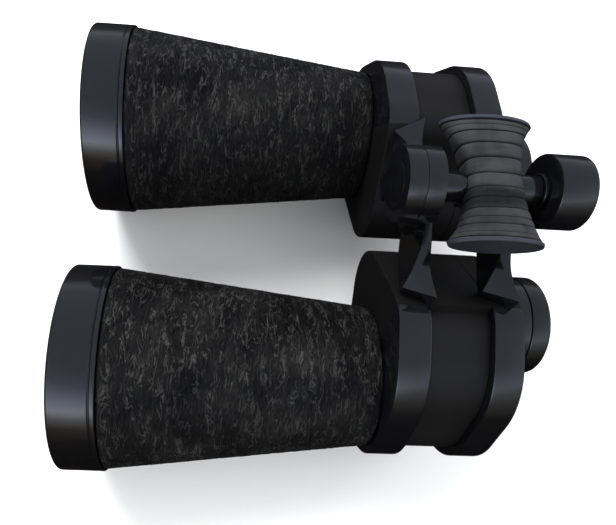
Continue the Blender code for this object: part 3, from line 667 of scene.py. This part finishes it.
def neck(which, name, side, knuckle_y, knuckle_r, length):
    """Short neck, pinched in the middle, that carries the knuckle on its bar."""
    half = length / 2
    y0 = (knuckle_y if side < 0 else knuckle_y + half) + NECK_INSET
    y1 = y0 + half - 2 * NECK_INSET
    low, high = HINGE_Z - NECK_DROP, HINGE_Z - knuckle_r * 0.6
    near, far = 0.1 * knuckle_r, 0.86 * knuckle_r
    centre = Vector(((near + far) / 2, (y0 + y1) / 2))
    outline_points = rounded([(near, y0), (far, y0), (far, y1), (near, y1)], 0.8, 5)
    rows = 8
    rings = []
    for k in range(rows + 1):
        share = k / rows
        z = low + (high - low) * share
        pinch = 1 - 0.12 * math.sin(math.pi * share)
        rings.append([(side * (centre.x + (u - centre.x) * pinch), centre.y + (v - centre.y) * pinch, z)
                      for (u, v), _ in outline_points])
    mesh_piece(f"{which}_neck_{name}", rings, [0.0] * len(rings), HALVES[name], [], [GLOSS],
               False)


def hinge():
    """Pin with its head, sleeves, washer, the saddle's core and the plain clamp knob."""
    low, high = (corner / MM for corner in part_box("hinge_pin"))
    shank = low.y + PIN_HEAD
    pin = [(low.y, 0), (low.y, PIN_HEAD_R), (shank, PIN_HEAD_R), (shank, PIN_R), (high.y, PIN_R), (high.y, 0)]
    lathe("pin", pin, 0, HINGE_Z, GLOSS, "right_half", ["hinge_pin"], 0.1, 96)
    for name in ("front_sleeve", "rear_sleeve"):
        low, high = (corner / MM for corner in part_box(name))
        radius = (high.x - low.x) / 2
        lathe(name + "_gloss", tapered(low.y, high.y, (radius,) * 2, (BORE_R,) * 2), 0, HINGE_Z, GLOSS,
              "right_half", [name], 0.25, 96)
    low, high = (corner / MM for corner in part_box("clamp_washer"))
    washer_r = (high.x - low.x) / 2
    lathe("washer", tapered(low.y, high.y, (washer_r,) * 2, (BORE_R,) * 2), 0, HINGE_Z, GLOSS,
          "clamp_washer", ["clamp_washer"], 0.3, 96)
    low, high = (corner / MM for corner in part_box("saddle_core"))
    core_r, core_setback = 6.6, 2.2
    lathe("core", tapered(low.y + core_setback, high.y, (core_r,) * 2, (BORE_R,) * 2), 0, HINGE_Z, BLACKED,
          "right_half", ["saddle_core"], 0.3, 64)
    y0, y1 = KNOB_BOX[0].y, KNOB_BOX[1].y
    dish, dish_r = y1 - 0.5, 6.0
    bore_end = y1 - 2.2
    knob = [(y0, KNOB_R), (y1, KNOB_R), (y1, dish_r + 0.4), (dish, dish_r), (dish, 0), (bore_end, 0),
            (bore_end, BORE_R), (y0, BORE_R)]
    lathe("knob", knob, 0, HINGE_Z, GLOSS, "clamp_knob", ["clamp_knob"], 0.55, 160)


# The grip's reach from its own axis at its ends and at its waist: along the binoculars, up and down
SADDLE_END = (14.2, 5.5, 5.5)
SADDLE_WAIST = (8.5, 5.5, 8.2)
SADDLE_RISE = 3.2       # of its axis above the hinge axis
WAIST_SETBACK = 0.7
# Where the grip's bands meet, across the binoculars: they are uneven, and crowd towards the ends
BAND_EDGES = (-17.3, -15.3, -11.3, -6.5, -1.3, 3.1, 6.4, 9.8, 12.6, 14.8, 17.3)
PAINTED_SHADE_X, PAINTED_SHADE_REACH = 6.5, 3.2     # the middle of the band of painted shade across the grip, and how far it spreads


def saddle():
    """Waisted rubber grip with rounded bands between thin grooves darkened by painted shade, and its two end
    plates.
    """
    low, high = (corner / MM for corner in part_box("saddle_grip"))
    half = high.x
    centre_y = (low.y + high.y) / 2
    centre_z = HINGE_Z + SADDLE_RISE
    edges = [-half, *BAND_EDGES, half]
    per_band = 12
    steps = 128
    rings, groove_values = [], []
    for start, end in zip(edges, edges[1:]):
        last = per_band + (1 if end == half else 0)
        for k in range(last):
            phase = k / per_band
            x = start + (end - start) * phase
            flare = (abs(x) / half) ** 2.6
            sizes = [waist + (tip - waist) * flare for tip, waist in zip(SADDLE_END, SADDLE_WAIST)]
            dome = math.sqrt(max(0.0, 1 - (2 * phase - 1) ** 2))
            cut = 0.12 * (end - start) ** 1.1 * (1 - dome ** 0.7)
            power = 2 / (3.0 - flare)
            middle_y = centre_y + WAIST_SETBACK * (1 - flare)
            ring = []
            for i in range(steps):
                turn = TURN * i / steps
                u, v = math.cos(turn), math.sin(turn)
                lump = 0.12 * noise.noise(Vector((x / 7, u * 2, v * 2)))
                depth = sizes[0] - cut + lump
                height = (sizes[1] if v > 0 else sizes[2]) - cut + lump
                ring.append((x, middle_y + math.copysign(depth * abs(u) ** power, u),
                             centre_z + math.copysign(height * abs(v) ** power, v)))
            rings.append(ring)
            # The groove value darkens the rubber there as painted shade.
            groove_values.append(max(0.0, 1 - dome * 1.9))
    grip = mesh_piece("grip", rings, groove_values, "right_half", ["saddle_grip"], [RUBBER], False,
                      sharp=60)
    painted_shade = grip.data.attributes.new("painted_shade", "FLOAT", "POINT")
    # Painted shade: how strongly each point of the grip lies in the darkened band.
    painted_shade.data.foreach_set("value", [math.exp(-((vertex.co.x / MM - PAINTED_SHADE_X) / PAINTED_SHADE_REACH) ** 4)
                                     for vertex in grip.data.vertices])
    for name, side in SIDES:
        low, high = (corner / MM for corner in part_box("saddle_end_" + name))
        inner, outer = (low.x, high.x) if side > 0 else (high.x, low.x)
        path = rounded([(inner, -2.0), (inner, 0.55), (outer, 0.2), (outer, -2.0)], 0.4, closed=False)
        rings, weights = [], []
        for (x, grow), weight in path:
            depth, above, below = (size + grow for size in SADDLE_END)
            rings.append([(x, centre_y + depth * math.cos(TURN * i / steps),
                           centre_z + (above if i < steps / 2 else below) * math.sin(TURN * i / steps))
                          for i in range(steps)])
            weights.append(weight)
        mesh_piece("grip_end_" + name, rings, weights, "right_half", ["saddle_end_" + name],
                   [PLATE_ENAMEL], False)


def carried_over():
    """Pieces whose frame shape is right keep it, with a finished surface."""
    surfaces = (("prism_strap", STEEL), ("prism_shelf", BLACKED), ("prism_", PRISM_GLASS),
                ("eyepiece_base", BRASS), ("ocular_cell", BLACKED), ("field_lens", GLASS))
    for name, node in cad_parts.items():
        for start, surface in surfaces:
            if name.startswith(start):
                node.data.materials.clear()
                node.data.materials.append(surface)
                node.data.shade_smooth()
                node.data.set_sharp_from_angle(angle=math.radians(35))
                break


# ---------------------------------------------------------------- stage

# The studio's light by direction. What the gloss mirrors has stops of (height, colour): in front, behind, on
# the far barrel's side and straight ahead. The room that lights the rest has stops of (side to side, colour).
MIRROR_STRENGTH = 2.5
MIRROR_FRONT = ((-0.6, (0.004, 0.003, 0.002)), (-0.1, (0.015, 0.012, 0.009)), (0.2, (0.08, 0.06, 0.042)),
                (0.38, (0.3, 0.295, 0.29)), (0.46, (0.56, 0.585, 0.63)), (0.54, (0.74, 0.8, 0.97)),
                (0.68, (0.51, 0.56, 0.7)), (0.86, (0.2, 0.22, 0.29)), (0.97, (0.132, 0.138, 0.168)))
MIRROR_REAR = ((-0.6, (0.002, 0.002, 0.002)), (-0.15, (0.014, 0.013, 0.011)), (0.22, (0.09, 0.086, 0.076)),
               (0.44, (0.18, 0.185, 0.21)), (0.56, (0.285, 0.31, 0.375)), (0.7, (0.22, 0.24, 0.3)),
               (0.85, (0.142, 0.15, 0.185)), (0.97, (0.122, 0.128, 0.158)))
MIRROR_FAR = ((-0.5, (0.008, 0.008, 0.01)), (-0.15, (0.03, 0.03, 0.035)), (0.02, (0.17, 0.18, 0.215)),
              (0.2, (0.14, 0.145, 0.18)), (0.5, (0.125, 0.13, 0.16)), (0.97, (0.125, 0.13, 0.16)))
MIRROR_AHEAD = ((-0.2, (0.006, 0.005, 0.004)), (0.6, (0.03, 0.026, 0.02)), (0.95, (0.1, 0.1, 0.11)))
ROOM_STRENGTH = 1.0
ROOM = ((-1.0, (0.98, 0.99, 1.0)), (-0.3, (0.95, 0.96, 0.98)), (0.2, (0.7, 0.71, 0.73)),
        (1.0, (0.2, 0.2, 0.205)))


def stage():
    """A pale floor, soft lights, and a sky that the gloss mirrors down to a clean horizon."""
    mesh = bpy.data.meshes.new("floor")
    reach, steps = 3.0, 24
    grid = [-reach + 2 * reach * i / steps for i in range(steps + 1)]
    points = [(x, y, 0.0) for y in grid for x in grid]
    row = steps + 1
    faces = [(r * row + c, r * row + c + 1, (r + 1) * row + c + 1, (r + 1) * row + c)
             for r in range(steps) for c in range(steps)]
    mesh.from_pydata(points, [], faces)
    floor = bpy.data.objects.new("floor", mesh)
    bpy.context.scene.collection.objects.link(floor)
    made = Nodes("pale_floor")
    spots = made.noise(made.place(), 3, 2)
    made.finish(made.ramp(spots, ((0.3, 0.9), (0.7, 0.93))), made.ramp(spots, ((0.3, 0.9), (0.7, 1.0))))
    mesh.materials.append(made.material)
    floor.visible_glossy = False

    world = bpy.data.worlds.new("studio")
    bpy.context.scene.world = world
    world.use_nodes = True
    tree = world.node_tree
    coordinates = tree.nodes.new("ShaderNodeTexCoord").outputs["Generated"]
    split = tree.nodes.new("ShaderNodeSeparateXYZ")
    tree.links.new(coordinates, split.inputs[0])

    def between(value, low, high):
        """0 below low and 1 above high."""
        node = tree.nodes.new("ShaderNodeMapRange")
        tree.links.new(value, node.inputs["Value"])
        node.inputs["From Min"].default_value = low
        node.inputs["From Max"].default_value = high
        return node.outputs["Result"]

    def gradient(value, stops):
        node = tree.nodes.new("ShaderNodeValToRGB")
        tree.links.new(between(value, -1.0, 1.0), node.inputs["Fac"])
        elements = node.color_ramp.elements
        while len(elements) < len(stops):
            elements.new(0.5)
        for element, (place, colour) in zip(elements, stops):
            element.position = (place + 1) / 2
            element.color = (*colour, 1)
        return node.outputs["Color"]

    def blend(factor, a, b):
        node = tree.nodes.new("ShaderNodeMix")
        node.data_type = "RGBA"
        for value, socket in ((factor, node.inputs["Factor"]), (a, node.inputs[6]), (b, node.inputs[7])):
            tree.links.new(value, socket)
        return node.outputs[2]

    def background(colour, strength):
        node = tree.nodes.new("ShaderNodeBackground")
        tree.links.new(colour, node.inputs["Color"])
        node.inputs["Strength"].default_value = strength
        return node.outputs[0]

    # What the gloss mirrors: a bright band above a soft horizon, weaker towards the eyepieces, and dark below
    front = gradient(split.outputs["Z"], MIRROR_FRONT)
    rear = gradient(split.outputs["Z"], MIRROR_REAR)
    lit = blend(between(split.outputs["Y"], -0.2, 0.38), front, rear)
    far_side = gradient(split.outputs["Z"], MIRROR_FAR)
    sides = blend(between(split.outputs["X"], -0.3, 0.15), far_side, lit)
    ahead = gradient(split.outputs["Z"], MIRROR_AHEAD)
    mirror = blend(between(split.outputs["Y"], -0.66, -0.4), ahead, sides)
    # What lights the rest: a soft box over the far barrel, fading to the near side
    room = gradient(split.outputs["X"], ROOM)
    both = tree.nodes.new("ShaderNodeMixShader")
    tree.links.new(tree.nodes.new("ShaderNodeLightPath").outputs["Is Glossy Ray"], both.inputs[0])
    tree.links.new(background(room, ROOM_STRENGTH), both.inputs[1])
    tree.links.new(background(mirror, MIRROR_STRENGTH), both.inputs[2])
    tree.links.new(both.outputs[0], tree.nodes["World Output"].inputs["Surface"])

    for name, place, energy, size in (("key", (-0.9, -0.5, 1.1), 34, 0.9), ("fill", (0.8, 0.4, 1.2), 8, 1.0),
                                      ("back", (-0.2, 1.1, 0.8), 7, 0.8)):
        light = bpy.data.lights.new(name, "AREA")
        light.energy = energy
        light.size = size
        holder = bpy.data.objects.new(name, light)
        bpy.context.scene.collection.objects.link(holder)
        holder.location = place
        holder.rotation_euler = (Vector((0, 0, 0.04)) - Vector(place)).to_track_quat("-Z", "Y").to_euler()
        holder.visible_glossy = False
    bpy.context.scene.view_settings.view_transform = "Standard"


def camera():
    """The viewpoint: close above the barrels, a little to the front."""
    data = bpy.data.cameras.new("camera")
    data.sensor_fit = "HORIZONTAL"
    data.sensor_width = 36
    data.lens = 31.97
    data.shift_x = 0.1
    data.shift_y = 0.0433
    data.clip_start = 0.01
    holder = bpy.data.objects.new("camera", data)
    bpy.context.scene.collection.objects.link(holder)
    right = Vector((-0.027328, 0.996816, 0.074909))
    up = Vector((-0.965352, -0.045772, 0.256907))
    back = Vector((0.259518, -0.065292, 0.963529))
    turn = Matrix((right, up, back)).transposed().to_4x4()
    holder.matrix_world = Matrix.Translation((0.075829, -0.036337, 0.247162)) @ turn
    bpy.context.scene.camera = holder


def build():
    camera()
    stage()
    for name, side in SIDES:
        rim(name, side)
        cover(name, side)
        objective(name, side)
        housing(name, side)
        eyepiece(name, side)
        for which, (y, radius, length, shift) in KNUCKLES.items():
            arm(which, name, side, FRONT_Y + y, radius, length, shift)
            neck(which, name, side, FRONT_Y + y, radius, length)
    hinge()
    saddle()
    carried_over()


build()
